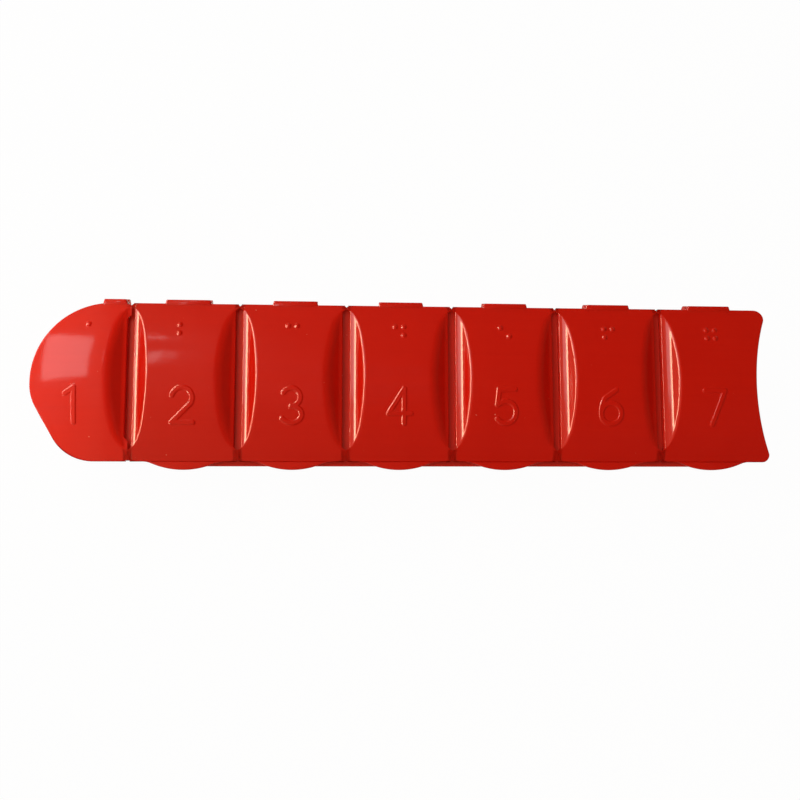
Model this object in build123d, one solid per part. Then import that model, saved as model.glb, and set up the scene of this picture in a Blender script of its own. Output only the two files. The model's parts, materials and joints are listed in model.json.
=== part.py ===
from build123d import *
import math
import os

# A weekly pill organizer: one tray with seven compartments and seven hinged lids.
# X runs along the row, Y from the thumb tabs to the hinges, Z up from the base.
# The origin is on the base, under the middle of the fourth compartment.

# The row
count = 7                     # compartments
pitch = 30.0                  # from one compartment to the next
lid_gap = 2.0                 # strip of deck left bare between two lids
depth = 44.4                  # front edge to rear edge of the lids

# Outline of the ends, at the lids' edge
round_overhang = 5.2          # centre of the round end, outward from the first seam
bulge_lean = 60.0             # turn of the outline at the first lid's front corner, degrees
bend_set = 4.08               # the slanted front begins this far before the middle
bulge_radius = 13.0
bend_radius = 13.0            # where the round end runs into the slanted front
hollow_reach = 27.5           # waist of the hollowed end, outward from the last seam
hollow_radius = 47.0
lid_rear_corner = 2.6
lid_front_corner = 1.8
seam_corner = 0.8

# Tray
deck_height = 20.0
deck_thick = 1.4
deck_inset = 0.3              # the deck's edge lies this far inside the lids' edge
wall = 1.2
wall_inset = 2.0              # outer wall, inside the lids' edge
draft = 1.5                   # degrees
floor_thick = 1.3
floor_radius = 4.5            # scooped foot of each compartment
body_corner = 8.0
mouth_corner = 5.5
slot_width = 1.4              # hollow between two compartments
slit_margin = 1.0
ledge_out = 1.2               # front ledge, beyond the lids' front edge
ledge_drop = 1.4              # its top, below the deck
ledge_thick = 1.6
ledge_taper = 3.6

# Lids
lid_rise = 5.5                # top of the arch, above the deck
arch_fall = 4.11              # from the top of the arch to half a depth away
arch_shift = 1.0              # the arch's top lies this far behind the middle
skin = 1.2
seam_thick = 2.1              # at the side edges, beside the seams
margin_reach = 1.0            # width of the hollowed margin beside a seam
margin_tilt = 14.0            # its slope at the lid's edge, degrees from level
foot_tilt = 28.0              # its slope where the flank begins
foot_radius = 0.8
flank_tilt = 41.0
ridge_radius = 3.5
lip_clear = 0.3               # between a lid's lip and the compartment's wall
lip_thick = 0.8
lip_drop = 1.2
lip_stop = 12.0               # the lip ends here, so that it swings clear of the rear wall

# Thumb tabs
tab_reach = 2.3
tab_radius = 22.0
tab_blend = 6.0
tab_thick = 0.9

# Hinges
hinge_width = 12.4            # over both ears
hinge_shift = 0.6             # middle of the hinge, to the right of its lid's middle
short_hinge_width = 6.3       # the first lid's, at the inner end of its rear edge
short_hinge_inset = 0.45      # from that end
hinge_out = 1.8               # back of the knuckle, beyond the lids' rear edge
hinge_drop = 2.2              # axis below the deck's top
bar_radius = 0.95
bar_clear = 0.05              # running clearance round the bar
knuckle_radius = 1.75
knuckle_gap = 0.2             # between the knuckle and each ear
clip_mouth = 1.5              # narrower than the bar, so that the knuckle snaps on
clip_turn = 235.0             # where the mouth points, degrees from the rear
arm_spread = 30.0             # where the arm meets the knuckle, degrees above its middle
ear_thick = 1.3
cap_out = 1.1                 # plate of the lid that covers the ears, beyond its rear edge
cap_thick = 1.7
cap_slant = 0.2

# Worked out from the above
half_pitch = pitch / 2
first_seam = -(count / 2 - 1) * pitch
last_seam = -first_seam
lid_half = (pitch - lid_gap) / 2
mouth_inset = wall_inset + wall
mouth_half = half_pitch - slot_width / 2 - wall
seam_top = deck_height + seam_thick
lid_top = deck_height + lid_rise
arch_radius = (depth**2 / 4 + arch_fall**2) / (2 * arch_fall)
deck_under = deck_height - deck_thick
hinge_reach = depth / 2 + hinge_out
hinge_y = hinge_reach - knuckle_radius
hinge_z = deck_height - hinge_drop
far = 2 * pitch * count


def compartment_x(number):
    # middle of a compartment, counted from 1 at the round end
    return (number - (count + 1) / 2) * pitch


def span_x(number, half):
    # left and right limits of a lid or a mouth; the end ones run past the outline
    middle = compartment_x(number)
    left = -far if number == 1 else middle - half
    right = far if number == count else middle + half
    return left, right


def plan(inset, rear_corner, front_corner):
    # outline of the whole organizer from above, drawn in by inset
    half = depth / 2 - inset
    centre = first_seam - round_overhang
    left = centre - half
    lean = math.radians(bulge_lean)
    bend_y = inset * math.tan(math.pi / 4 - lean / 2) - bend_set
    bulge_x = left + (half + bend_y) / math.tan(lean)
    hollow_centre = last_seam + hollow_reach + hollow_radius
    radius = hollow_radius + inset
    corner_x = hollow_centre - math.sqrt(radius**2 - half**2)
    diagonal = half * math.sqrt(0.5)
    rear_right, front_right = (corner_x, half), (corner_x, -half)
    bulge, bend, side, rear_left = (bulge_x, -half), (left, bend_y), (left, 0), (centre, half)
    outline = Face(Wire([
        Line(rear_left, rear_right),
        ThreePointArc(rear_right, (hollow_centre - radius, 0), front_right),
        Line(front_right, bulge),
        Line(bulge, bend),
        Line(bend, side),
        ThreePointArc(side, (centre - diagonal, diagonal), rear_left),
    ]))
    corners = [
        (rear_right, rear_corner),
        (front_right, front_corner),
        (bulge, bulge_radius - inset),
        (bend, bend_radius - inset),
    ]
    for point, radius in corners:
        outline = outline.fillet_2d(radius, [near(outline, point)])
    return outline


def near(shape, point):
    return min(shape.vertices(), key=lambda vertex: math.dist((vertex.X, vertex.Y), point))


def strip(outline, left, right):
    # the piece of an outline between two seams
    low, high = max(left, -far), min(right, far)
    window = Pos((low + high) / 2, 0) * Rectangle(high - low, far)
    return ((Sketch() + outline) & window).faces()[0]


def round_seams(block, left, right, corner):
    # round the upright edges that stand on the seams
    uprights = []
    for edge in block.edges():
        size = edge.bounding_box().size
        near_seam = any(min(abs(v.X - left), abs(v.X - right)) < 0.001 for v in edge.vertices())
        if near_seam and size.Z > size.X + size.Y:
            uprights.append(edge)
    return fillet(uprights, corner)


def mouth_block(number, clearance, low, high, lean=0):
    # what fills a compartment's mouth between two heights, drawn in by a clearance
    corner = body_corner - wall - clearance
    left, right = span_x(number, mouth_half - clearance)
    face = strip(plan(mouth_inset + clearance, corner, corner), left, right)
    block = extrude(Pos(0, 0, high) * face, amount=high - low, dir=(0, 0, -1), taper=lean)
    return round_seams(block, left, right, mouth_corner - clearance)


def prism(face, low, high):
    return extrude(Pos(0, 0, low) * face, amount=high - low, dir=(0, 0, 1))


def along_x(profile, low, high):
    # a profile drawn as (Y, Z) pairs, carried from one X to another
    return extrude(Plane.YZ.offset(low) * profile, amount=high - low, dir=(1, 0, 0))


def hinge_span(number):
    if number > 1:
        return compartment_x(number) + hinge_shift, hinge_width
    inner_end = compartment_x(number) + lid_half - short_hinge_inset
    return inner_end - short_hinge_width / 2, short_hinge_width


def tray_body():
    # tapered tub with a rounded foot, under the deck
    top = plan(wall_inset, body_corner, body_corner)
    tub = extrude(Pos(0, 0, deck_under) * top, amount=deck_under, dir=(0, 0, -1), taper=draft)
    foot = tub.edges().group_by(Axis.Z)[0]
    tub = fillet(foot, floor_radius + wall)
    deck = prism(plan(deck_inset, lid_rear_corner, lid_front_corner), deck_under, deck_height)
    return tub + deck


def compartment(number):
    # the core that forms one compartment: drafted sides and a scooped floor
    core = mouth_block(number, 0, floor_thick, deck_height, draft)
    return fillet(core.edges().group_by(Axis.Z)[0], floor_radius)


def slot(number):
    # the hollow between two compartments, open below through a slit
    shrink = math.tan(math.radians(draft)) * deck_under
    top = depth / 2 - mouth_inset
    foot = top - shrink
    slit = foot - floor_radius - slit_margin
    chamber = Polygon(
        (-top, deck_under), (-foot, wall), (foot, wall), (top, deck_under), align=None
    )
    low_corners = [vertex for vertex in chamber.vertices() if vertex.Y < deck_under / 2]
    chamber = fillet(low_corners, floor_radius)
    chamber += Rectangle(2 * slit, 4 * wall)
    middle = compartment_x(number) + half_pitch
    return along_x(chamber, middle - slot_width / 2, middle + slot_width / 2)


def front_ledge():
    # the finger ledge, from behind the second lid's tab to just past the last lid's tab
    chord = math.sqrt(tab_radius**2 - (tab_radius - tab_reach) ** 2)
    left = compartment_x(2) - chord / 2
    right = compartment_x(count) + chord
    back = depth / 2 - wall_inset - wall / 2
    front = depth / 2 + ledge_out
    top = deck_height - ledge_drop
    outline = Polygon(
        (left - ledge_taper, -back),
        (left - ledge_taper, -(front - ledge_taper / 2)),
        (left, -front),
        (right - ledge_taper, -front),
        (right, -(front - ledge_taper / 2)),
        (right, -back),
        align=None,
    )
    return prism(outline, top - ledge_thick, top)


def hinge_bar(number):
    # two ears on the rear wall with a bar between them
    middle, width = hinge_span(number)
    root = depth / 2 - wall_inset - wall / 2
    reach = hinge_reach - root
    profile = Polygon(
        (root, hinge_z + knuckle_radius),
        (hinge_y, hinge_z + knuckle_radius),
        (hinge_y, hinge_z - knuckle_radius),
        (root, hinge_z - knuckle_radius),
        align=None,
    ) + Pos(hinge_y, hinge_z) * Circle(knuckle_radius)
    block = along_x(profile, middle - width / 2, middle + width / 2)
    inner = width / 2 - ear_thick
    rear_wall = depth / 2 - wall_inset
    room = Pos(middle, rear_wall + reach / 2, deck_height / 2) * Box(2 * inner, reach, 2 * deck_height)
    bar = Pos(middle, hinge_y, hinge_z) * Rot(0, 90, 0) * Cylinder(bar_radius, 2 * inner + ear_thick)
    return block, room, bar


def make_tray():
    tray = tray_body() + front_ledge()
    for number in range(1, count + 1):
        ears, room, bar = hinge_bar(number)
        tray = tray + ears - room + bar
    for number in range(1, count + 1):
        tray -= compartment(number)
    for number in range(1, count):
        tray -= slot(number)
    return tray


def arch_profile(lower):
    # what lies under the arch, as a (Y, Z) profile, or a skin lower
    disc = Pos(arch_shift, lid_top - arch_radius) * Circle(arch_radius - lower)
    return disc & Pos(0, deck_height) * Rectangle(2 * depth, 4 * lid_rise)


def under_arch(number, lower):
    # the arch runs straight along the row, and turns about the round end under the first lid
    left, right = span_x(number, half_pitch)
    profile = arch_profile(lower)
    if number > 1:
        return along_x(profile, left, right)
    centre = first_seam - round_overhang
    straight = along_x(profile, centre, right)
    ball = Pos(centre, arch_shift, lid_top - arch_radius) * Sphere(arch_radius - lower)
    box = Pos(centre - depth, 0, deck_height) * Box(2 * depth, 2 * depth, 4 * lid_rise)
    return straight + (ball & box)


def tilted(angle):
    # unit step along a line that climbs at an angle in degrees
    return math.cos(math.radians(angle)), math.sin(math.radians(angle))


def flank_curve():
    # from the seam edge inward: the hollowed margin, then the foot of the slope, as (across, height)
    level_0, steep_0 = tilted(margin_tilt)
    level_1, steep_1 = tilted(foot_tilt)
    level_2, steep_2 = tilted(flank_tilt)
    hollow = margin_reach / (steep_1 - steep_0)
    middle_level, middle_steep = tilted((margin_tilt + foot_tilt) / 2)
    start = (0.0, seam_top)
    along = (hollow * (middle_steep - steep_0), seam_top + hollow * (level_0 - middle_level))
    foot = (margin_reach, seam_top + hollow * (level_0 - level_1))
    bend_level, bend_steep = tilted((foot_tilt + flank_tilt) / 2)
    bend = (foot[0] + foot_radius * (bend_steep - steep_1), foot[1] + foot_radius * (level_1 - bend_level))
    slope = (foot[0] + foot_radius * (steep_2 - steep_1), foot[1] + foot_radius * (level_1 - level_2))
    return start, along, foot, bend, slope


def flank(edge_x, inward):
    # what a flank takes off a lid, beside the seam at edge_x; inward is +1 or -1
    climb = math.tan(math.radians(flank_tilt))
    top = lid_top + wall
    start, along, foot, bend, slope = [(edge_x + inward * x, z) for x, z in flank_curve()]
    summit = (slope[0] + inward * (top - slope[1]) / climb, top)
    outer = edge_x - inward * pitch / 4
    shape = Face(Wire([
        ThreePointArc(start, along, foot),
        ThreePointArc(foot, bend, slope),
        Line(slope, summit),
        Line(summit, (outer, top)),
        Line((outer, top), (outer, seam_top)),
        Line((outer, seam_top), start),
    ]))
    return extrude(Plane.XZ * shape, amount=depth, both=True)


def flank_inside(edge_x, inward):
    # the same slope one skin lower, which the hollow under the lid keeps clear of
    level, steep = tilted(flank_tilt)
    across, height = flank_curve()[-1]
    base, top = deck_height - lip_drop, lid_top + wall
    low = edge_x + inward * (across + (base - height + skin / level) * level / steep)
    high = low + inward * (top - base) * level / steep
    outer = edge_x - inward * pitch / 4
    shape = Polygon((outer, base), (low, base), (high, top), (outer, top), align=None)
    return extrude(Plane.XZ * shape, amount=depth, both=True)


def flank_sides(number):
    # the seams beside a lid: the ends of the row have a flank on one side only
    middle = compartment_x(number)
    sides = []
    if number > 1:
        sides.append((middle - lid_half, 1))
    if number < count:
        sides.append((middle + lid_half, -1))
    return sides


def lid_shell(number):
    # arched plate with sloping flanks, rounded ridges and an even skin
    left, right = span_x(number, lid_half)
    face = strip(plan(0, lid_rear_corner, lid_front_corner), left, right)
    block = round_seams(prism(face, deck_height, lid_top + wall), left, right, seam_corner)
    shell = block & under_arch(number, 0)
    sides = flank_sides(number)
    flanks = [flank(edge_x, inward) for edge_x, inward in sides]
    shell -= flanks
    shell = fillet([edge for edge in shell.edges() if on_ridge(edge, flanks)], ridge_radius)
    hollow = mouth_block(number, lip_clear + lip_thick, deck_height - lip_drop, lid_top)
    hollow &= under_arch(number, skin)
    hollow -= [flank_inside(edge_x, inward) for edge_x, inward in sides]
    return shell - hollow


def on_ridge(edge, flanks):
    # true for the curved edges where the arch meets a flank
    if edge.geom_type == GeomType.LINE or edge.bounding_box().size.Y < seam_corner:
        return False
    return any(flank.distance_to(edge.position_at(0.5)) < 0.001 for flank in flanks)


def lid_lip(number):
    # the lip that enters the compartment, along the sides and the front
    low, high = deck_height - lip_drop, deck_height + skin / 2
    ring = mouth_block(number, lip_clear, low, high)
    ring -= mouth_block(number, lip_clear + lip_thick, low, high)
    keep = Pos(0, lip_stop - depth, deck_height) * Box(2 * far, 2 * depth, 2 * deck_height)
    return ring & keep


def thumb_tab(number):
    # a shallow bow on the front edge, with a hollow blend on each side
    middle = compartment_x(number)
    front = depth / 2
    back = front - wall_inset
    bow = Pos(middle, -front - tab_reach + tab_radius) * Circle(tab_radius)
    bow &= Pos(middle, -front) * Rectangle(pitch, 2 * tab_radius - 2 * tab_reach)
    plate = Pos(middle, -(front + back) / 2) * Rectangle(2 * lid_half, front - back)
    below = Pos(middle, -back - depth / 2) * Rectangle(pitch, depth)
    shape = plate + (bow & below)
    chord = math.sqrt(tab_radius**2 - (tab_radius - tab_reach) ** 2)
    hollows = [near(shape, (middle + side * chord, -front)) for side in (-1, 1)]
    shape = fillet(hollows, tab_blend)
    return prism(shape, deck_height, deck_height + tab_thick)


def hinge_cap(number):
    # the plate that carries the lid's rear edge out over the ears
    middle, width = hinge_span(number)
    front, rear = depth / 2 - wall_inset + 2 * lip_clear, depth / 2
    wide = width / 2 + cap_slant
    outline = Polygon(
        (middle - wide, front),
        (middle + wide, front),
        (middle + wide, rear),
        (middle + width / 2, rear + cap_out),
        (middle - width / 2, rear + cap_out),
        (middle - wide, rear),
        align=None,
    )
    return prism(outline, deck_height, deck_height + cap_thick)


def knuckle(number):
    # a clip that snaps over the bar, and the arm that hangs it from the cap
    middle, width = hinge_span(number)
    reach_y, reach_z = [knuckle_radius * step for step in tilted(arm_spread)]
    top = deck_height + cap_thick / 2
    arm = Polygon(
        (depth / 2 - wall_inset + 2 * lip_clear, top),
        (depth / 2 + cap_out, top),
        (hinge_reach, hinge_z),
        (hinge_y, hinge_z),
        (hinge_y - reach_y, hinge_z + reach_z),
        align=None,
    )
    ring = Pos(hinge_y, hinge_z) * Circle(knuckle_radius)
    bore = Pos(hinge_y, hinge_z) * Circle(bar_radius + bar_clear)
    opening = Rectangle(2 * knuckle_radius, clip_mouth, align=(Align.MIN, Align.CENTER))
    opening = Pos(hinge_y, hinge_z) * Rot(0, 0, clip_turn) * opening
    profile = arm + ring - bore - opening
    half = width / 2 - ear_thick - knuckle_gap
    return along_x(profile, middle - half, middle + half)


def make_lid(number):
    lid = lid_shell(number) + lid_lip(number) + hinge_cap(number) + knuckle(number)
    if number > 1:
        lid += thumb_tab(number)
    return lid


os.makedirs("parts", exist_ok=True)
export_step(make_tray(), "parts/tray.step")
for number in range(1, count + 1):
    export_step(make_lid(number), f"parts/lid_{number}.step")
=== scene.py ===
import json
import math
import bmesh
import bpy
import numpy as np
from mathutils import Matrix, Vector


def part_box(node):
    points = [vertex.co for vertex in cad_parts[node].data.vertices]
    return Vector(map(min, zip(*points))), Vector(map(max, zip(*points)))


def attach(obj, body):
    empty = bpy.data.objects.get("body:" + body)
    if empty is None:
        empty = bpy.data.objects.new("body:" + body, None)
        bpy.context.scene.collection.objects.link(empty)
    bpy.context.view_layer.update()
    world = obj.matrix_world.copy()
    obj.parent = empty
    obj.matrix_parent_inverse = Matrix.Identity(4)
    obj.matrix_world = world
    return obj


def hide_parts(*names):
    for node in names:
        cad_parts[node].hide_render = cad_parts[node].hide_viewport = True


# weekly pill organizer in red moulded polypropylene, lids up, thumb tabs towards the viewer
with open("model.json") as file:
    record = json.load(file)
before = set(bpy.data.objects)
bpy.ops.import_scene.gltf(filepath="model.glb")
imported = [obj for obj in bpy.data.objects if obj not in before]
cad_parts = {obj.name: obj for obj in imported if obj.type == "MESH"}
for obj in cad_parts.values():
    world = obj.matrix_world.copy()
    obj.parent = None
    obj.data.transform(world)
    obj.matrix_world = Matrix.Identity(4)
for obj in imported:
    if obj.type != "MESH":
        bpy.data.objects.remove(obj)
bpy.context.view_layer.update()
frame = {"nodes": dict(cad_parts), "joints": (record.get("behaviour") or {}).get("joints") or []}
print("frame loaded:", len(frame["nodes"]), "nodes")

mm = 0.001      # pieces are worked out in millimetres, as the construction is
lidCount = 7
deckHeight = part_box("tray")[1][2] / mm
lastHinge, hingeBefore = [frame["joints"][i]["pos_m"][0] for i in (-1, -2)]
pitch = (lastHinge - hingeBefore) / mm
quarterTurn = np.radians([0, 22.5, 45, 67.5, 90])      # steps of a rounded edge


# sRGB hex to linear colour
def linear(hexColour):
    channels = [int(hexColour[i:i + 2], 16) / 255 for i in (1, 3, 5)]
    return [c / 12.92 if c <= 0.04045 else ((c + 0.055) / 1.055) ** 2.4 for c in channels] + [1.0]


# adds one node: settings go by attribute or by input name or number, links by input name or number
def addNode(tree, kind, settings=None, links=None):
    node = tree.nodes.new(kind)
    for name, value in (settings or {}).items():
        if isinstance(name, int) or name in node.inputs:
            node.inputs[name].default_value = value
        else:
            setattr(node, name, value)
    for name, source in (links or {}).items():
        tree.links.new(source, node.inputs[name])
    return node


# mesh from points in mm and faces of any size
def meshFrom(name, points, faces):
    mesh = bpy.data.meshes.new(name)
    mesh.from_pydata((np.asarray(points) * mm).tolist(), [], faces)
    mesh.validate()
    return mesh


# a mesh as a piece of the scene, shaded smooth up to an angle in degrees
def showMesh(mesh, sharpAngle):
    mesh.shade_smooth()
    mesh.set_sharp_from_angle(angle=math.radians(sharpAngle))
    piece = bpy.data.objects.new(mesh.name, mesh)
    bpy.context.scene.collection.objects.link(piece)
    return piece


# meshes given as (points, faces) in one list of points and one of faces
def joinParts(parts):
    faces, base = [], 0
    for points, partFaces in parts:
        faces += [[i + base for i in face] for face in partFaces]
        base += len(points)
    return np.concatenate([points for points, partFaces in parts]), faces


# X of the middle of a lid and its compartment
def lidMiddle(number):
    return (number - (lidCount + 1) / 2) * pitch


# the middle of a lid's hinge
def hingePlace(number):
    return np.array(frame["joints"][number - 1]["pos_m"]) / mm


# outline of the organizer at the lids' edge and of the mouths under it, in mm and degrees
outline = {
    "halfDepth": 22.2,
    "roundCentre": -80.2,     # X of the round end's centre
    "bulgeLean": 60,          # angle to the row of the slanted line before the bulge
    "bulgeRadius": 13.0,
    "bendSet": 4.08,          # the side bends this far in front of the round end's centre
    "bendRadius": 13.0,
    "lastSeam": 75.0,
    "hollowReach": 27.5,      # from the last seam to the deepest place of the hollowed end
    "hollowRadius": 47.0,
    "rearCorner": 2.6,
    "frontCorner": 1.8,
    "seamCorner": 0.8,
    "lidHalf": 14.0,          # from a lid's middle to its seam edges, and the same for the mouth
    "mouthHalf": 13.1,
    "mouthInset": 3.2,        # from the outline to the mouth on all other sides
    "mouthCorner": 5.5,
    "bodyCorner": 8.0,        # of the tray outside, at the hollowed end
    "wall": 1.2,
}


# X of the round end at each Y: quarter circle behind, and in front the side, a bend arc, a slanted line and
# the bulge's arc
def roundSide(y, inset):
    half = outline["halfDepth"] - inset
    centre = outline["roundCentre"]
    left = centre - half
    lean = math.radians(outline["bulgeLean"])
    bendY = inset * math.tan(math.pi / 4 - lean / 2) - outline["bendSet"]
    bulgeX = left + (half + bendY) / math.tan(lean)
    bend = outline["bendRadius"] - inset
    bulge = outline["bulgeRadius"] - inset
    turn = math.pi / 2 - lean
    bendTop = bendY + bend * math.tan(turn / 2)
    bendFoot = bendTop - bend * math.sin(turn)
    bulgeTop = -half + bulge * (1 - math.cos(lean))
    quarter = centre - np.sqrt(np.maximum(half**2 - y**2, 0))
    bendArc = left + bend - np.sqrt(np.maximum(bend**2 - (y - bendTop) ** 2, 0))
    slant = left + (bendY - y) / math.tan(lean)
    bulgeMiddle = bulgeX + bulge * math.tan(lean / 2)
    bulgeArc = bulgeMiddle - np.sqrt(np.maximum(bulge**2 - (y + half - bulge) ** 2, 0))
    front = np.where(y > bulgeTop, slant, bulgeArc)
    front = np.where(y > bendTop, left, np.where(y > bendFoot, bendArc, front))
    return np.where(y > 0, quarter, front)


# X of the hollowed end at each Y: an inward arc, with an arc at each corner
def hollowSide(y, inset, rearCorner, frontCorner):
    half = outline["halfDepth"] - inset
    radius = outline["hollowRadius"] + inset
    middle = outline["lastSeam"] + outline["hollowReach"] + outline["hollowRadius"]
    x = middle - np.sqrt(radius**2 - y**2)
    for corner, side in ((rearCorner, 1), (frontCorner, -1)):
        cornerX = middle - math.sqrt((radius + corner) ** 2 - (half - corner) ** 2)
        across = side * y - (half - corner)
        arc = cornerX + np.sqrt(np.maximum(corner**2 - across**2, 0))
        x = np.where(side * y > (half - corner) * radius / (radius + corner), arc, x)
    return x


# distance of a straight seam from its lid's middle at each Y, with an arc at each corner
def seamSide(y, reach, half, corner):
    across = np.clip(np.abs(y) - (half - corner), 0, corner)
    return reach - (corner - np.sqrt(np.maximum(corner**2 - across**2, 0)))


# left and right X of a lid's outline at each Y, drawn in by inset
def lidSides(number, y, inset):
    middle = lidMiddle(number)
    half = outline["halfDepth"] - inset
    seam = seamSide(y, outline["lidHalf"] - inset, half, outline["seamCorner"] - inset)
    left = roundSide(y, inset) if number == 1 else middle - seam
    corners = outline["rearCorner"] - inset, outline["frontCorner"] - inset
    right = hollowSide(y, inset, *corners) if number == lidCount else middle + seam
    return left, right


# the same for its compartment's mouth, with a clearance
def mouthSides(number, y, clearance):
    middle = lidMiddle(number)
    inset = outline["mouthInset"] + clearance
    corner = outline["bodyCorner"] - outline["wall"] - clearance
    seam = seamSide(y, outline["mouthHalf"] - clearance, outline["halfDepth"] - inset,
                    outline["mouthCorner"] - clearance)
    left = roundSide(y, inset) if number == 1 else middle - seam
    right = hollowSide(y, inset, corner, corner) if number == lidCount else middle + seam
    return left, right


arch = {
    "rise": 5.28,          # above the deck, less than the solid's by the height of the raised marks
    "radius": 62.0,
    "shift": 1.0,          # the top lies this far behind the middle
    "seamTop": deckHeight + 2.1,
    "skin": 1.2,
    "edgeRound": 0.35,
    "footRound": 0.15,     # of the edge that rests on the deck
    "lipDrop": 1.2,
    "lipClear": 0.3,
    "lipThick": 0.8,
    "lipStop": 12.0,       # the lip runs out at this Y, over the length of lipRun, before the hinge
    "lipRun": 0.3,
    "apart": 0.004,        # keeps loops of points apart where they would coincide
}


# height of the barrel arch: an arc along Y, turned about the round end's centre on the first lid
def archHeight(number, x, y):
    along = y - arch["shift"]
    if number == 1:
        along = np.hypot(np.minimum(x - outline["roundCentre"], 0), along)
    return deckHeight + arch["rise"] - arch["radius"] + np.sqrt(arch["radius"]**2 - along**2)


# the flank on a lid's left (-1) is a long hollow up to a crisp ridge, the one on its right (1) a slope under
# a soft ridge. The tilts in degrees are those of the hollow where it starts at the seam edge and where it
# ends, and of the slope
flanks = {
    -1: {"hollowTilt": 11, "hollowReach": 2.6, "hollowEnd": 47,
         "footRadius": 0.8, "slope": 49, "ridgeRadius": 1.4},
    1: {"hollowTilt": 14, "hollowReach": 1.0, "hollowEnd": 28,
        "footRadius": 0.8, "slope": 41, "ridgeRadius": 4.5},
}


# the hollow and the foot of a flank, each an arc as (centre, height of centre, radius, end), then the
# distance from the seam edge, the height and the tilt with which the slope starts
def flankArcs(side):
    shape = flanks[side]
    start, end, slope = [math.radians(shape[name]) for name in ("hollowTilt", "hollowEnd", "slope")]
    across, height = 0.0, arch["seamTop"]
    hollowRadius = shape["hollowReach"] / (math.sin(end) - math.sin(start))
    arcs = []
    for radius, low, high in ((hollowRadius, start, end), (shape["footRadius"], end, slope)):
        centre, level = across - radius * math.sin(low), height + radius * math.cos(low)
        across, height = centre + radius * math.sin(high), level - radius * math.cos(high)
        arcs.append((centre, level, radius, across))
    return arcs, across, height, slope


# where the ridge's rounding starts and ends, as distances from the seam edge, and the height of its centre:
# a ball of the ridge's radius rolls under the arch and against the slope, the foot or the hollow
def ridgeContact(side, top):
    arcs, slopeStart, slopeHeight, tilt = flankArcs(side)
    ball = flanks[side]["ridgeRadius"]
    height = top - ball
    centre = slopeStart + (ball + (height - slopeHeight) * math.cos(tilt)) / math.sin(tilt)
    start = centre - ball * math.sin(tilt)
    for middle, level, radius, end in arcs[::-1]:
        below = np.clip(level - height, 0, radius + ball)
        out = np.sqrt((radius + ball) ** 2 - below**2)
        touches = start < end if radius == flanks[side]["footRadius"] else start < arcs[0][3]
        centre = np.where(touches, middle + out, centre)
        start = np.where(touches, middle + out * radius / (radius + ball), start)
    return start, centre, height


# height of a lid beside a seam: hollow, foot, slope, rounded ridge, then the arch
def flankHeight(side, distance, top):
    arcs, slopeStart, slopeHeight, tilt = flankArcs(side)
    start, centre, height = ridgeContact(side, top)
    low = slopeHeight + (distance - slopeStart) * math.tan(tilt)
    for middle, level, radius, end in arcs[::-1]:
        arc = level - np.sqrt(np.maximum(radius**2 - (distance - middle) ** 2, 0))
        low = np.where(distance < end, arc, low)
    ball = flanks[side]["ridgeRadius"]
    ridge = height + np.sqrt(np.maximum(ball**2 - (distance - centre) ** 2, 0))
    return np.where(distance < start, low, np.where(distance < centre, ridge, top))


# the sides of a lid that stand at a seam, and how far each point is from that seam's edge
def seamsBeside(number, x):
    middle = lidMiddle(number)
    sides = [side for side in (-1, 1) if 1 <= number + side <= lidCount]
    return [(side, outline["lidHalf"] + side * (middle - x)) for side in sides]


# upper surface of a lid: the arch, brought down beside each seam
def lidTop(number, x, y):
    z = top = archHeight(number, x, y)
    for side, distance in seamsBeside(number, x):
        z = np.minimum(z, flankHeight(side, distance, top))
    return z


# under side of a lid: the arch and the flanks, one skin lower, and never below the lip's foot
def lidUnder(number, x, y, foot):
    z = archHeight(number, x, y) - arch["skin"]
    for side, distance in seamsBeside(number, x):
        slopeStart, slopeHeight, tilt = flankArcs(side)[1:]
        lower = slopeHeight - arch["skin"] / math.cos(tilt)
        z = np.minimum(z, lower + (distance - slopeStart) * math.tan(tilt))
    return np.maximum(z, foot)


# how far the lip drops at each Y
def lipDepth(y):
    return arch["lipDrop"] * np.clip((arch["lipStop"] - y) / arch["lipRun"] + 0.5, 0, 1)


marks = {
    "numeralHeight": 10.4,
    "numeralMiddle": -6.8,
    "stroke": 1.25,
    "raise": 0.22,
    "edge": 0.3,
    "dotSpacing": 2.45,
    "dotRadius": 0.78,
    "dotRaise": 0.36,
    "dotFullness": 0.8,    # exponent of the dot's profile: below 1 its top is flatter than a parabola
    "dotMiddle": 13.3,
    "firstShift": 5.0,     # the first lid's dots stand nearer to its straight side
}


# points of an elliptical arc, angles in degrees
def arcPoints(x, y, radiusX, radiusY, start, end, steps=14):
    turn = np.radians(np.linspace(start, end, steps))
    return [(x + radiusX * math.cos(t), y + radiusY * math.sin(t)) for t in turn]


# strokes of the plain numerals, in a cell one high, centred
def numeralStrokes(number):
    return {
        1: [[(-0.17, 0.30), (0.06, 0.46), (0.06, -0.46)]],
        2: [arcPoints(0, 0.18, 0.27, 0.28, 165, -30) + [(-0.27, -0.46), (0.28, -0.46)]],
        3: [arcPoints(-0.01, 0.22, 0.24, 0.24, 150, -90), arcPoints(-0.01, -0.24, 0.28, 0.22, 90, -150)],
        4: [[(0.12, -0.46), (0.12, 0.46), (-0.30, -0.20), (0.30, -0.20)]],
        5: [[(0.24, 0.46), (-0.20, 0.46), (-0.24, 0.04)] + arcPoints(-0.01, -0.16, 0.28, 0.30, 125, -145)],
        6: [[(0.14, 0.46)] + arcPoints(0.04, -0.12, 0.32, 0.48, 130, 190, 8),
            arcPoints(0, -0.18, 0.28, 0.28, 0, 360, 28)],
        7: [[(-0.28, 0.46), (0.28, 0.46), (-0.06, -0.46)]],
    }[number]


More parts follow.
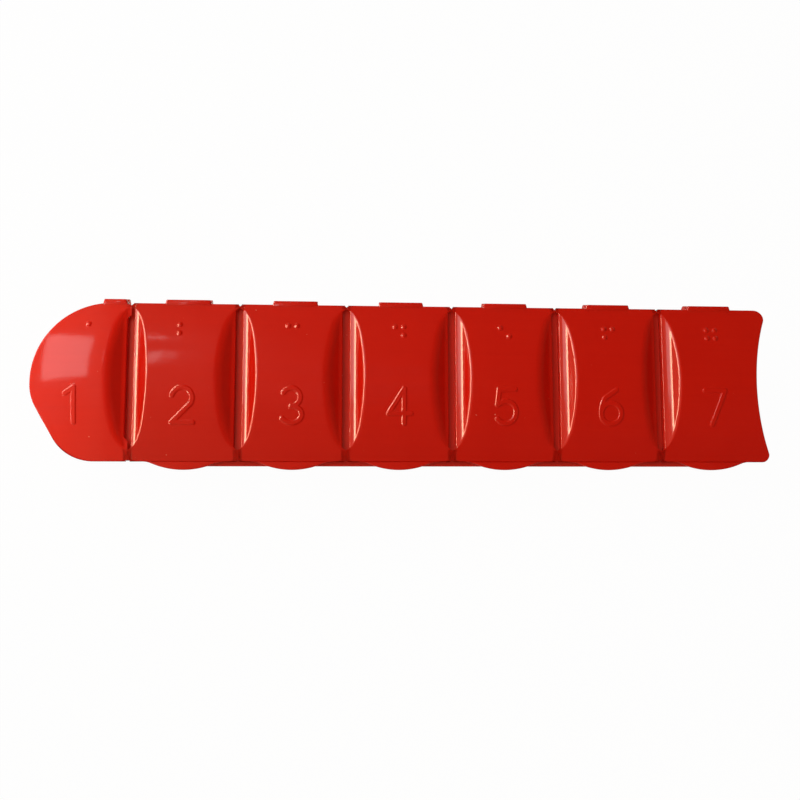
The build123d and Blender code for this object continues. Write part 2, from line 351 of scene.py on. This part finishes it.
# middles of the reading dots of the digits one to seven, from (column, row) in a cell of two by three
def readingDots(number):
    dots = {1: [(0, 0)], 2: [(0, 0), (0, 1)], 3: [(0, 0), (1, 0)], 4: [(0, 0), (1, 0), (1, 1)],
            5: [(0, 0), (1, 1)], 6: [(0, 0), (0, 1), (1, 0)], 7: [(0, 0), (0, 1), (1, 0), (1, 1)]}
    spacing = marks["dotSpacing"]
    shift = marks["firstShift"] if number == 1 else 0
    return [(shift + (column - 0.5) * spacing, marks["dotMiddle"] + (1 - row) * spacing)
            for column, row in dots[number]]


# smooth step from 1 inside to 0 outside
def softEdge(distance, reach, edge):
    t = np.clip((reach - distance) / edge + 0.5, 0, 1)
    return t * t * (3 - 2 * t)


# height that the marks add: strokes are flat-topped with soft edges, dots are round caps
def markHeight(number, x, y):
    nearest = np.full(x.shape, np.inf)
    for stroke in numeralStrokes(number):
        points = np.array(stroke) * marks["numeralHeight"] + [0, marks["numeralMiddle"]]
        for (ax, ay), (bx, by) in zip(points[:-1], points[1:]):
            length = (bx - ax) ** 2 + (by - ay) ** 2
            t = np.clip(((x - ax) * (bx - ax) + (y - ay) * (by - ay)) / length, 0, 1)
            nearest = np.minimum(nearest, np.hypot(x - ax - t * (bx - ax), y - ay - t * (by - ay)))
    height = marks["raise"] * softEdge(nearest, marks["stroke"] / 2, marks["edge"])
    for dotX, dotY in readingDots(number):
        away = np.hypot(x - dotX, y - dotY) / marks["dotRadius"]
        height = height + marks["dotRaise"] * np.clip(1 - away**2, 0, 1) ** marks["dotFullness"]
    return height


# columns and rows of a lid's top grid: counts, and steps and reaches in mm
gridSteps = {
    "flank": 16,
    "ridge": 10,
    "beside": 8,
    "besideReach": 3.2,     # the band beside the ridge
    "plainBand": 0.8,       # the two bands that stand in for flank and ridge at an end of the row
    "bandShare": 0.7,       # of a short row's width, at most, for the bands of both sides
    "middleWidth": 17.6,    # between the bands of both sides, in the longest rows
    "fine": 0.17,
    "samples": 20001,       # along the outline, to place the rows
    "rowFine": 0.17,        # across the marks
    "rowPlain": 0.5,
    "markMargin": 1.0,
    "outlineStep": 0.34,    # along the outline, this near to the front and the rear
    "endReach": 6.0,
    "longest": 0.8,         # along the outline elsewhere
}


# Y of each row, bunched where the marks are and where the outline turns: the inverse of a running sum of
# 1/step
def rowPlaces(number, half):
    turn = np.linspace(-math.pi / 2, math.pi / 2, gridSteps["samples"])
    y = half * np.sin(turn)
    left, right = lidSides(number, y, 0)
    along = np.maximum(np.abs(np.diff(left)), np.abs(np.diff(right))) + np.abs(np.diff(y))
    midY = (y[1:] + y[:-1]) / 2
    marked = np.abs(midY - marks["numeralMiddle"]) < marks["numeralHeight"] / 2 + gridSteps["markMargin"]
    marked |= np.abs(midY - marks["dotMiddle"]) < marks["dotSpacing"] * 2
    nearEnd = np.abs(midY) > half - gridSteps["endReach"]
    share = np.abs(np.diff(y)) * np.where(marked, 1 / gridSteps["rowFine"], 1 / gridSteps["rowPlain"])
    share = np.maximum(share, along / gridSteps["outlineStep"] * nearEnd)
    share = np.maximum(share, along / gridSteps["longest"])
    total = np.concatenate([[0], np.cumsum(share)])
    count = 2 * int(total[-1] / 2) + 2
    return np.interp(np.linspace(0, total[-1], count + 1), total, y)


# X of each column in every row: even steps up each flank, over its ridge and beside it, then fine steps
# between. In the rows at the front and the rear the arch lies below the seam's top, and there the ridge's
# contact falls outside the seam edge, and some columns with it
def columnPlaces(number, y, left, right, edge):
    top = archHeight(number, np.full_like(y, lidMiddle(number)), y)
    plain = np.full_like(y, gridSteps["plainBand"])
    counts = [gridSteps["flank"], gridSteps["ridge"], gridSteps["beside"]]
    bands = []
    for side, present in ((-1, number > 1), (1, number < lidCount)):
        start, centre, height = ridgeContact(side, top)
        begin = start - edge if present else plain
        peak = centre - edge if present else plain * 2
        ends = [np.zeros_like(y), begin, peak, peak + gridSteps["besideReach"]]
        columns = []
        for low, high, count in zip(ends[:-1], ends[1:], counts):
            t = np.arange(count) / count
            columns.append(low[:, None] + (high - low)[:, None] * t[None, :])
        columns.append(ends[-1][:, None])
        bands.append(np.concatenate(columns, axis=1))
    width = (right - left)[:, None]
    reach = (bands[0][:, -1] + bands[1][:, -1])[:, None]
    shrink = np.minimum(1, gridSteps["bandShare"] * width / reach)      # a short row keeps all its columns
    fromLeft = left[:, None] + bands[0] * shrink
    fromRight = right[:, None] - bands[1][:, ::-1] * shrink
    middleCount = 2 * int(gridSteps["middleWidth"] / gridSteps["fine"] / 2) + 1
    t = (np.arange(middleCount) + 1) / (middleCount + 1)
    between = fromLeft[:, -1:] + (fromRight[:, :1] - fromLeft[:, -1:]) * t[None, :]
    return np.concatenate([fromLeft, between, fromRight], axis=1)


# the closed loop of a grid's border: front row left to right, right side, rear row back, left side
def border(grid):
    return np.concatenate([grid[0, :-1], grid[:-1, -1], grid[-1, :0:-1], grid[:0:-1, 0]])


# quads of a grid of point numbers, facing up where X grows along a row and Y from row to row
def gridFaces(order):
    quads = np.stack([order[:-1, :-1], order[:-1, 1:], order[1:, 1:], order[1:, :-1]], axis=2)
    return quads.reshape(-1, 4).tolist()


# thumb tab: how far it stands out, its bow, the hollow blend at each side, and its edges
tab = {"reach": 2.3, "radius": 22.0, "blend": 6.0, "thick": 0.9, "crease": 0.2, "round": 0.3}


# how far the thumb tab stands out at each X: a shallow bow with a hollow blend on each side
def tabReach(number, x):
    if number == 1:
        return np.zeros_like(x)
    reach, radius, blend = tab["reach"], tab["radius"], tab["blend"]
    away = np.abs(x - lidMiddle(number))
    blendX = math.sqrt((radius + blend) ** 2 - (radius - reach + blend) ** 2)
    bow = reach - radius + np.sqrt(np.maximum(radius**2 - away**2, 0))
    hollow = blend - np.sqrt(np.maximum(blend**2 - (away - blendX) ** 2, 0))
    return np.where(away < blendX * radius / (radius + blend), bow, np.where(away < blendX, hollow, 0))


# a lid as one closed skin: top grid, a stack of loops down the wall and round the lip, and a coarser grid
# below
def makeLid(number):
    half, edge = outline["halfDepth"], arch["edgeRound"]
    share = rowPlaces(number, half) / half
    y = share * (half - edge)
    left, right = lidSides(number, y, edge)
    x = columnPlaces(number, y, left, right, edge)
    across = (x - left[:, None]) / (right - left)[:, None]
    yGrid = np.repeat(y[:, None], x.shape[1], axis=1)
    z = lidTop(number, x, yGrid) + markHeight(number, x - lidMiddle(number), yGrid)
    topGrid = np.stack([x, yGrid, z], axis=2)
    rim = border(topGrid)

    # the border moved to other sides and another depth, at the same shares of them
    def loopAt(sides, halfHere):
        yHere = share * halfHere
        leftHere, rightHere = sides(yHere)
        xHere = leftHere[:, None] + (rightHere - leftHere)[:, None] * across
        return border(np.stack([xHere, np.repeat(yHere[:, None], xHere.shape[1], axis=1)], axis=2))

    # the top edge's rounding
    loops = []
    for t in quarterTurn[1:]:
        inset = edge * (1 - math.sin(t))
        flat = loopAt(lambda v: lidSides(number, v, inset), half - inset)
        loops.append(np.column_stack([flat, rim[:, 2] - edge * (1 - math.cos(t))]))

    # wall down to the tab and the crease between them, then the tab's top and its rounded nose
    outer = loopAt(lambda v: lidSides(number, v, 0), half)
    isFront = np.arange(len(rim)) < x.shape[1]
    stand = np.where(isFront, tabReach(number, outer[:, 0]), 0)
    crease = np.minimum(tab["crease"], stand / 2)
    nose = np.minimum(tab["round"], stand / 2)
    tabTop = deckHeight + tab["thick"]
    profile = [(crease * (1 - math.cos(t)), tabTop + crease * (1 - math.sin(t))) for t in quarterTurn]
    profile += [(stand - nose + nose * math.sin(t), tabTop - nose * (1 - math.cos(t))) for t in quarterTurn]
    for step, (out, height) in enumerate(profile):
        loops.append(np.column_stack([outer[:, 0], outer[:, 1] - out, height - arch["apart"] * step]))

    # the foot on the deck, the flat under side as far as the mouth, and down the lip
    foot = arch["footRound"]
    deck = np.full(len(outer), deckHeight)
    loops.append(np.column_stack([outer[:, 0], outer[:, 1] - stand, deck + foot]))
    inner = loopAt(lambda v: lidSides(number, v, foot), half - foot)
    loops.append(np.column_stack([inner[:, 0], inner[:, 1] - stand, deck]))
    clear, clearance = arch["lipClear"], arch["lipClear"] + arch["lipThick"]
    inset = outline["mouthInset"] + clear
    lipOuter = loopAt(lambda v: mouthSides(number, v, clear), half - inset)
    flat = np.column_stack([lipOuter, deck])
    loops.append(flat + (np.column_stack([inner, deck]) - flat) * 0.5)
    loops.append(flat)
    drop = lipDepth(lipOuter[:, 1])
    loops.append(np.column_stack([lipOuter, deckHeight - drop - arch["apart"]]))
    halfLow = half - inset - arch["lipThick"]
    lipInner = loopAt(lambda v: mouthSides(number, v, clearance), halfLow)
    loops.append(np.column_stack([lipInner, deckHeight - drop - 2 * arch["apart"]]))

    # coarser grid below, every second row and column
    yLow = share[::2] * halfLow
    leftLow, rightLow = mouthSides(number, yLow, clearance)
    xLow = leftLow[:, None] + (rightLow - leftLow)[:, None] * across[::2, ::2]
    yLow = np.repeat(yLow[:, None], xLow.shape[1], axis=1)
    zLow = lidUnder(number, xLow, yLow, deckHeight - lipDepth(yLow))

    # faces of the top grid, of a band to each next loop, of the seam where one coarse step meets two fine
    # ones, and of the lower grid
    order = np.arange(z.size).reshape(z.shape)
    points, faces = [topGrid.reshape(-1, 3)], gridFaces(order)
    base, previous = z.size, border(order)
    for loop in loops:
        here = base + np.arange(len(loop))
        faces += np.column_stack([previous, here, np.roll(here, -1), np.roll(previous, -1)]).tolist()
        points.append(loop)
        base, previous = base + len(loop), here
    lowOrder = base + np.arange(zLow.size).reshape(zLow.shape)
    points.append(np.stack([xLow, yLow, zLow], axis=2).reshape(-1, 3))
    coarse = border(lowOrder)
    faces += np.column_stack([previous[::2], coarse, np.roll(coarse, -1), np.roll(previous, -2)[::2],
                              previous[1::2]]).tolist()
    faces += gridFaces(lowOrder[:, ::-1])
    return np.concatenate(points), faces


# the hinge behind a lid: the plate over the tray's ears, the open ring on its bar, and the arm between them
hinge = {
    "width": 12.4,
    "shortWidth": 6.3,     # on the first lid
    "capFront": 20.8,
    "capRear": 23.3,
    "capThick": 1.7,
    "capSlant": 0.2,
    "capRound": 0.4,
    "capCorner": 0.35,
    "capFoot": 0.15,
    "cornerSteps": 7,
    "ear": 1.3,            # thickness of an ear, and the gap beside it
    "gap": 0.2,
    "knuckle": 1.75,       # radius outside
    "bore": 1.0,           # radius inside
    "mouth": 1.5,          # width of the ring's opening, and its direction in degrees
    "mouthTurn": 235,
    "ringSteps": 40,
    "spread": 30,          # where the arm meets the ring, in degrees
    "armFront": 1.4,       # the arm reaches this far in under the lid
    "armLevel": 0.6,       # above the deck
    "armClear": 0.05,      # above the bore
    "armRear": 0.4,        # above the bar's middle, at the rear
    "round": 0.22,
}


# width of the plate over the ears
def hingeWidth(number):
    return hinge["shortWidth"] if number == 1 else hinge["width"]


# rings of equally many points, joined from one to the next and closed at both ends
def stackRings(rings):
    count = len(rings[0])
    faces = []
    for step in range(len(rings) - 1):
        a = step * count + np.arange(count)
        b = a + count
        faces += np.column_stack([a, np.roll(a, -1), np.roll(b, -1), b]).tolist()
    faces.append(list(range(count))[::-1])
    faces.append([(len(rings) - 1) * count + i for i in range(count)])
    return np.concatenate(rings), faces


# a closed profile in (Y, Z) carried along X: each end goes in a quarter circle from the full profile, one
# rounding inside the end, out to the end, where it is drawn in by the rounding, as the span between them is
def carryAlongX(profile, normals, low, high, rounding):
    ends = []
    for end, sign in ((low, 1), (high, -1)):
        ends.append([(end + sign * rounding * (1 - math.sin(t)), rounding * (1 - math.cos(t)))
                     for t in np.radians([0, 30, 60, 90])])
    rings = []
    for x, inset in ends[0] + ends[1][::-1]:
        rings.append(np.column_stack([np.full(len(profile), x), profile - normals * inset]))
    return stackRings(rings)


# the plate over the ears: its outline narrows to the rear, and its top edge is rounded by a quarter circle
def makeCap(number):
    half = hingeWidth(number) / 2
    front, rear, slant, rounding, corner, foot = [
        hinge["cap" + name] for name in ("Front", "Rear", "Slant", "Round", "Corner", "Foot")]
    turn = np.radians(np.linspace(0, 90, hinge["cornerSteps"]))
    spokes = np.column_stack([np.cos(turn), np.sin(turn)])
    side = np.concatenate([
        [(half + slant, front), (half + slant, outline["halfDepth"])],
        np.array([half - corner, rear - corner]) + corner * spokes,
    ])
    outward = np.concatenate([[(1, 0), (1, 0)], spokes])
    plan, outward = [np.concatenate([points, points[::-1] * [-1, 1]]) for points in (side, outward)]
    levels = [(foot, 0.0), (0.0, foot)]
    for t in quarterTurn:
        levels.append((rounding * (1 - math.cos(t)), hinge["capThick"] - rounding * (1 - math.sin(t))))
    rings = []
    for inset, height in levels:
        ring = plan - outward * inset + [hingePlace(number)[0], 0]
        rings.append(np.column_stack([ring, np.full(len(plan), deckHeight + height)]))
    return stackRings(rings)


# the snap knuckle: an open ring round the tray's bar, with the arm that joins it to the lid's rear edge
def makeKnuckle(number):
    x0, y0, z0 = hingePlace(number)
    reach = hingeWidth(number) / 2 - hinge["ear"] - hinge["gap"]
    outer, bore, mouth = hinge["knuckle"], hinge["bore"], hinge["mouthTurn"]
    openOuter, openInner = [math.degrees(math.asin(hinge["mouth"] / 2 / radius)) for radius in (outer, bore)]
    turnOut = np.radians(np.linspace(mouth + openOuter - 360, mouth - openOuter, hinge["ringSteps"]))
    turnIn = np.radians(np.linspace(mouth - openInner, mouth + openInner - 360, hinge["ringSteps"]))
    ring = np.concatenate([
        np.column_stack([y0 + outer * np.cos(turnOut), z0 + outer * np.sin(turnOut)]),
        np.column_stack([y0 + bore * np.cos(turnIn), z0 + bore * np.sin(turnIn)]),
    ])
    outward = np.concatenate([np.column_stack([np.cos(turnOut), np.sin(turnOut)]),
                              -np.column_stack([np.cos(turnIn), np.sin(turnIn)])])
    spread = math.radians(hinge["spread"])
    level = deckHeight + hinge["armLevel"]
    arm = np.array([
        (outline["halfDepth"] - hinge["armFront"], level),
        (y0 - outer * math.cos(spread), z0 + outer * math.sin(spread)),
        (y0, z0 + bore + hinge["armClear"]),
        (y0 + outer, z0 + hinge["armRear"]),
        (hinge["capRear"], level),
    ])
    spokes = arm - arm.mean(axis=0)
    armOut = spokes / np.linalg.norm(spokes, axis=1)[:, None]
    return joinParts([carryAlongX(profile, normals, x0 - reach, x0 + reach, hinge["round"])
                      for profile, normals in ((ring, outward), (arm, armOut))])


# red polypropylene, injection moulded in a polished mould: clear gloss, a little light passing under the
# surface, long faint flow lines along the row, and fine dust caught on it
polypropylene = {
    "lids": ("#E11E0D", "#CE1408"),
    # the tray's colours, lighter and pinker than the lids', are partly painted light: a painted sheen on the
    # front ledge and painted light in the shaded gaps between the lids
    "tray": ("#E6382B", "#D82C21"),      # the thicker moulding looks a little milkier
    "roughness": 0.10,
    "roughSpread": 0.1,       # between the flow lines
    "ior": 1.49,
    "scatter": 0.12,
    "scatterScale": 0.0016,   # metres
    "scatterRadius": (1.0, 0.12, 0.06),      # red light goes furthest
    "flowStep": 0.9,          # mm between flow lines
    "flowRepeats": (18, 60),  # per metre along the row and upwards: the lines are about 56 mm long
    "cloudStep": 16.0,        # mm between the patches of the deeper colour
    "waveStep": 7.0,          # mm between the gentle waves of the moulded skin
    "grainStep": 0.35,        # mm, coarser than the mould's own grain so that it shows
    "deepLeast": 0.1,         # share of the deeper colour everywhere, and what patches and flow lines add
    "deepCloud": 0.35,
    "deepFlow": 0.3,
    "bumpDepth": 0.00005,     # metres, of which each pattern takes its share
    "flowBump": 0.12,
    "waveBump": 1.2,
    "grainBump": 0.03,
    "dustStep": 0.8,          # mm, the size of the cells in which a speck of dust may lie
    "dustFrom": 0.88,         # only the highest places of the noise carry dust
    "dustEdge": 14.0,         # how sharply a speck ends
    "dust": "#EC8375",
}


# the plastic in two close colours, which the patches and the flow lines mix
def mouldedPlastic(name, clear, deep):
    values = polypropylene
    material = bpy.data.materials.new(name)
    material.use_nodes = True
    tree = material.node_tree
    tree.nodes.clear()
    place = addNode(tree, "ShaderNodeTexCoord")
    repeats, upRepeats = values["flowRepeats"]
    along = addNode(tree, "ShaderNodeMapping", {"Scale": (repeats, 1000 / values["flowStep"], upRepeats)},
                    {"Vector": place.outputs["Object"]})
    flow = addNode(tree, "ShaderNodeTexNoise", {"Scale": 1.0, "Detail": 3.0, "Roughness": 0.6},
                   {"Vector": along.outputs["Vector"]})
    noise = {}
    for pattern, detail in (("cloud", 2.0), ("wave", 1.0), ("grain", 2.0), ("dust", 0.0)):
        noise[pattern] = addNode(tree, "ShaderNodeTexNoise",
                                 {"Scale": 1000 / values[pattern + "Step"], "Detail": detail},
                                 {"Vector": place.outputs["Object"]})
    blendAmount = addNode(tree, "ShaderNodeMath",
                          {"operation": "MULTIPLY_ADD", 1: values["deepCloud"], 2: values["deepLeast"]},
                          {0: noise["cloud"].outputs["Fac"]})
    blendFlow = addNode(tree, "ShaderNodeMath", {"operation": "MULTIPLY_ADD", 1: values["deepFlow"]},
                        {0: flow.outputs["Fac"], 2: blendAmount.outputs["Value"]})
    colour = addNode(tree, "ShaderNodeMix", {"data_type": "RGBA", 6: linear(clear), 7: linear(deep)},
                     {"Factor": blendFlow.outputs["Value"]})
    dusty = addNode(tree, "ShaderNodeMath", {
        "operation": "MULTIPLY_ADD", "use_clamp": True,
        1: values["dustEdge"], 2: -values["dustEdge"] * values["dustFrom"],
    }, {0: noise["dust"].outputs["Fac"]})
    dusted = addNode(tree, "ShaderNodeMix", {"data_type": "RGBA", 7: linear(values["dust"])},
                     {"Factor": dusty.outputs["Value"], 6: colour.outputs[2]})
    rough = addNode(tree, "ShaderNodeMath", {
        "operation": "MULTIPLY_ADD",
        1: values["roughSpread"], 2: values["roughness"] - values["roughSpread"] / 2,
    }, {0: flow.outputs["Fac"]})
    heightFlow = addNode(tree, "ShaderNodeMath", {"operation": "MULTIPLY", 1: values["flowBump"]},
                         {0: flow.outputs["Fac"]})
    heightWave = addNode(tree, "ShaderNodeMath", {"operation": "MULTIPLY_ADD", 1: values["waveBump"]},
                         {0: noise["wave"].outputs["Fac"], 2: heightFlow.outputs["Value"]})
    heightAll = addNode(tree, "ShaderNodeMath", {"operation": "MULTIPLY_ADD", 1: values["grainBump"]},
                        {0: noise["grain"].outputs["Fac"], 2: heightWave.outputs["Value"]})
    bump = addNode(tree, "ShaderNodeBump", {"Strength": 1.0, "Distance": values["bumpDepth"]},
                   {"Height": heightAll.outputs["Value"]})
    skin = addNode(tree, "ShaderNodeBsdfPrincipled", {
        "IOR": values["ior"], "Subsurface Weight": values["scatter"],
        "Subsurface Radius": values["scatterRadius"], "Subsurface Scale": values["scatterScale"],
    }, {
        "Base Color": dusted.outputs[2], "Roughness": rough.outputs["Value"],
        "Normal": bump.outputs["Normal"],
    })
    addNode(tree, "ShaderNodeOutputMaterial", None, {"Surface": skin.outputs["BSDF"]})
    return material


lidPlastic = mouldedPlastic("moulded polypropylene, lids", *polypropylene["lids"])
trayPlasticPaintedLighter = mouldedPlastic("moulded polypropylene, tray, painted lighter", *polypropylene["tray"])
print("materials made")

lidSharp = 50      # degrees, the angle from which a lid's edge is shaded as an edge
lids = []
for number in range(1, lidCount + 1):
    points, faces = joinParts([makeLid(number), makeCap(number), makeKnuckle(number)])
    lid = showMesh(meshFrom(f"lidShell{number}", points, faces), lidSharp)
    lid.data.materials.append(lidPlastic)
    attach(lid, f"lid_{number}")
    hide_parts(f"lid_{number}")
    lids.append(lid)
print("lids made")

# mm and degrees: edges sharper than the last are rounded
tray = {"merge": 0.002, "flatAngle": 0.5, "edgeRound": 0.22, "edgeSteps": 2, "sharp": 38}


# the tray keeps its solid's shape: a merged copy whose flat faces are joined and whose edges are rounded
def makeTray():
    mesh = frame["nodes"]["tray"].data.copy()
    mesh.name = "trayShell"
    work = bmesh.new()
    work.from_mesh(mesh)
    bmesh.ops.remove_doubles(work, verts=work.verts, dist=tray["merge"] * mm)
    flatAngle = math.radians(tray["flatAngle"])
    bmesh.ops.dissolve_limit(work, angle_limit=flatAngle, verts=work.verts, edges=work.edges)
    work.to_mesh(mesh)
    work.free()
    mesh.materials.clear()
    piece = showMesh(mesh, tray["sharp"])
    rounding = piece.modifiers.new("roundedEdges", "BEVEL")
    rounding.width = tray["edgeRound"] * mm
    rounding.segments = tray["edgeSteps"]
    rounding.limit_method = "ANGLE"
    rounding.angle_limit = math.radians(tray["sharp"])
    rounding.harden_normals = True
    return piece


trayShell = makeTray()
trayShell.data.materials.append(trayPlasticPaintedLighter)
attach(trayShell, "tray")
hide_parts("tray")
print("tray made")

floor = {
    "size": 3.0,
    "colour": "#F4F4F2",
    "shine": 0.975,      # share of plain white that the camera sees in it, the rest shows light and shadow
}


# matt white board: no gloss, so the floor shows only soft shadow
def mattBoard():
    paint = bpy.data.materials.new("matt white board")
    paint.use_nodes = True
    tree = paint.node_tree
    tree.nodes.clear()
    paper = addNode(tree, "ShaderNodeBsdfDiffuse", {"Color": linear(floor["colour"])})
    glow = addNode(tree, "ShaderNodeEmission", {"Color": (1, 1, 1, 1), "Strength": 1.0})
    path = addNode(tree, "ShaderNodeLightPath")
    seen = addNode(tree, "ShaderNodeMath", {"operation": "MULTIPLY", 1: floor["shine"]},
                   {0: path.outputs["Is Camera Ray"]})
    board = addNode(tree, "ShaderNodeMixShader", None,
                    {0: seen.outputs["Value"], 1: paper.outputs["BSDF"], 2: glow.outputs["Emission"]})
    addNode(tree, "ShaderNodeOutputMaterial", None, {"Surface": board.outputs["Shader"]})
    return paint


bpy.ops.mesh.primitive_plane_add(size=floor["size"])
floorPiece = bpy.context.object
floorPiece.name = "paleFloor"
floorPiece.data.materials.append(mattBoard())

# lamps with a power light the colour, those with a radiance only shine on the gloss. Some reach the first lid
# alone, some all pieces but that one. A lamp stands in a direction from the object and faces it: its size is
# (up the lamp, along the horizon) in metres, before it is rolled by its angle in degrees
studio = {
    "key": {"direction": (-0.25, 0.13, 0.31), "distance": 0.38, "size": (0.3, 0.3), "power": 0.57},
    "overhead": {"direction": (-0.05, 0.04, 0.5), "distance": 0.48, "size": (0.2, 0.2), "power": 0.20},
    "fill": {"direction": (0.45, -0.3, 0.5), "distance": 0.55, "size": (0.4, 0.4), "power": 0.16},
    "rim": {"direction": (-0.62, -0.05, 0.33), "distance": 0.3, "size": (0.12, 0.12), "power": 0.14,
            "shines": "first"},
    "side": {"direction": (0.2, -0.06, 0.28), "distance": 0.3, "size": (0.12, 0.12), "power": 0.035,
             "shines": "first"},
    "glint": {"direction": (-0.95, 0.1, 0.24), "distance": 0.8, "size": (0.14, 1.0), "radiance": 12.0,
              "colour": "#FFE4CC", "shines": "first"},
    "window": {"direction": (-0.6575, 0.285, 0.70), "distance": 0.968, "size": (0.36, 0.44), "roll": -68,
               "radiance": 2.4},
    "pane": {"direction": (-0.2775, 0.306, 0.91), "distance": 0.937, "size": (0.035, 0.10), "roll": 37,
             "radiance": 3.2},
    "upperPane": {"direction": (-0.27, 0.491, 0.828), "distance": 0.941, "size": (0.04, 0.018), "roll": 46,
                  "radiance": 3.2},
    "strip": {"direction": (-0.858, 0.10, 0.503), "distance": 0.8, "size": (0.15, 1.6), "radiance": 22.0,
              "colour": "#FFD8B4", "shines": "others"},
    "veil": {"direction": (-0.78, 0.09, 0.62), "distance": 0.8, "size": (0.12, 1.4), "radiance": 2.6,
             "colour": "#FFE4CC", "shines": "others"},
}
shownTo = {}
for group, pieces in (("first", lids[:1]), ("others", lids[1:] + [trayShell])):
    shownTo[group] = bpy.data.collections.new(group + "Lit")
    for piece in pieces:
        shownTo[group].objects.link(piece)


# rectangular lamp: a radiance becomes a power by pi times the lamp's area
def softPanel(name, values):
    data = bpy.data.lights.new(name, "AREA")
    data.shape = "RECTANGLE"
    data.size_y, data.size = values["size"]
    glossOnly = "radiance" in values
    data.energy = values["radiance"] * math.pi * data.size * data.size_y if glossOnly else values["power"]
    lamp = bpy.data.objects.new(name, data)
    away = np.array(values["direction"]) / np.linalg.norm(values["direction"])
    lamp.location = away * values["distance"]
    facing = Vector(away).to_track_quat("Z", "Y").to_matrix().to_4x4()
    roll = Matrix.Rotation(math.radians(values.get("roll", 0)), 4, "Z")
    lamp.rotation_euler = (facing @ roll).to_euler()
    lamp.visible_glossy = glossOnly
    lamp.visible_diffuse = not glossOnly
    if "colour" in values:
        data.color = linear(values["colour"])[:3]
    if "shines" in values:
        lamp.light_linking.receiver_collection = shownTo[values["shines"]]
    bpy.context.scene.collection.objects.link(lamp)


for name, values in studio.items():
    softPanel(name + "Lamp", values)

sky = {
    "colour": "#FFDDB4",
    "dark": 0.08,        # strength on the right
    "gain": 0.62,        # added on the left, where the room is bright
    "edge": 0.5,         # X of the direction where the gain starts, and over how much of X it comes in
    "reach": 0.85,
    "fall": 3.0,
}


# the world: its strength is dark + gain x ((edge - X) / reach) ** fall, the bracket kept from 0 to 1, and the
# camera sees the floor's colour in it
def makeWorld():
    world = bpy.data.worlds.new("studio")
    world.use_nodes = True
    tree = world.node_tree
    tree.nodes.clear()
    wayOut = addNode(tree, "ShaderNodeTexCoord")
    wayParts = addNode(tree, "ShaderNodeSeparateXYZ", None, {"Vector": wayOut.outputs["Generated"]})
    leftness = addNode(tree, "ShaderNodeMath", {
        "operation": "MULTIPLY_ADD", "use_clamp": True, 1: -1 / sky["reach"], 2: sky["edge"] / sky["reach"],
    }, {0: wayParts.outputs["X"]})
    fallen = addNode(tree, "ShaderNodeMath", {"operation": "POWER", 1: sky["fall"]},
                     {0: leftness.outputs["Value"]})
    bright = addNode(tree, "ShaderNodeMath", {"operation": "MULTIPLY_ADD", 1: sky["gain"], 2: sky["dark"]},
                     {0: fallen.outputs["Value"]})
    light = addNode(tree, "ShaderNodeBackground", {"Color": linear(sky["colour"])},
                    {"Strength": bright.outputs["Value"]})
    pale = addNode(tree, "ShaderNodeBackground", {"Color": linear(floor["colour"]), "Strength": 1.0})
    path = addNode(tree, "ShaderNodeLightPath")
    behind = addNode(tree, "ShaderNodeMixShader", None, {
        0: path.outputs["Is Camera Ray"], 1: light.outputs["Background"], 2: pale.outputs["Background"]})
    addNode(tree, "ShaderNodeOutputWorld", None, {"Surface": behind.outputs["Shader"]})
    return world


bpy.context.scene.world = makeWorld()

camera = {
    "place": (-15.84, -33.0, 273.7),
    "look": (0.0633, 0.1109, -0.9918),
    "up": (-0.0056, 0.9938, 0.1108),
    "focal": 900.0,          # in pixels of an image this wide
    "imageWidth": 800.0,
    "sensor": 36,
    "clipStart": 0.01,       # metres
}


# a camera looks along its own -Z with its own Y up, so its axes come from the look and up directions
def makeCamera():
    data = bpy.data.cameras.new("overhead")
    data.sensor_width = camera["sensor"]
    data.sensor_fit = "HORIZONTAL"
    data.lens = camera["sensor"] * camera["focal"] / camera["imageWidth"]
    data.clip_start = camera["clipStart"]
    piece = bpy.data.objects.new("overhead", data)
    piece.location = np.array(camera["place"]) * mm
    lookWay = Vector(camera["look"]).normalized()
    rightWay = lookWay.cross(Vector(camera["up"])).normalized()
    turned = Matrix((rightWay, rightWay.cross(lookWay), -lookWay)).transposed()
    piece.rotation_euler = turned.to_euler()
    bpy.context.scene.collection.objects.link(piece)
    return piece


bpy.context.scene.camera = makeCamera()
bpy.context.scene.view_settings.view_transform = "Standard"
print("camera and lamps set")
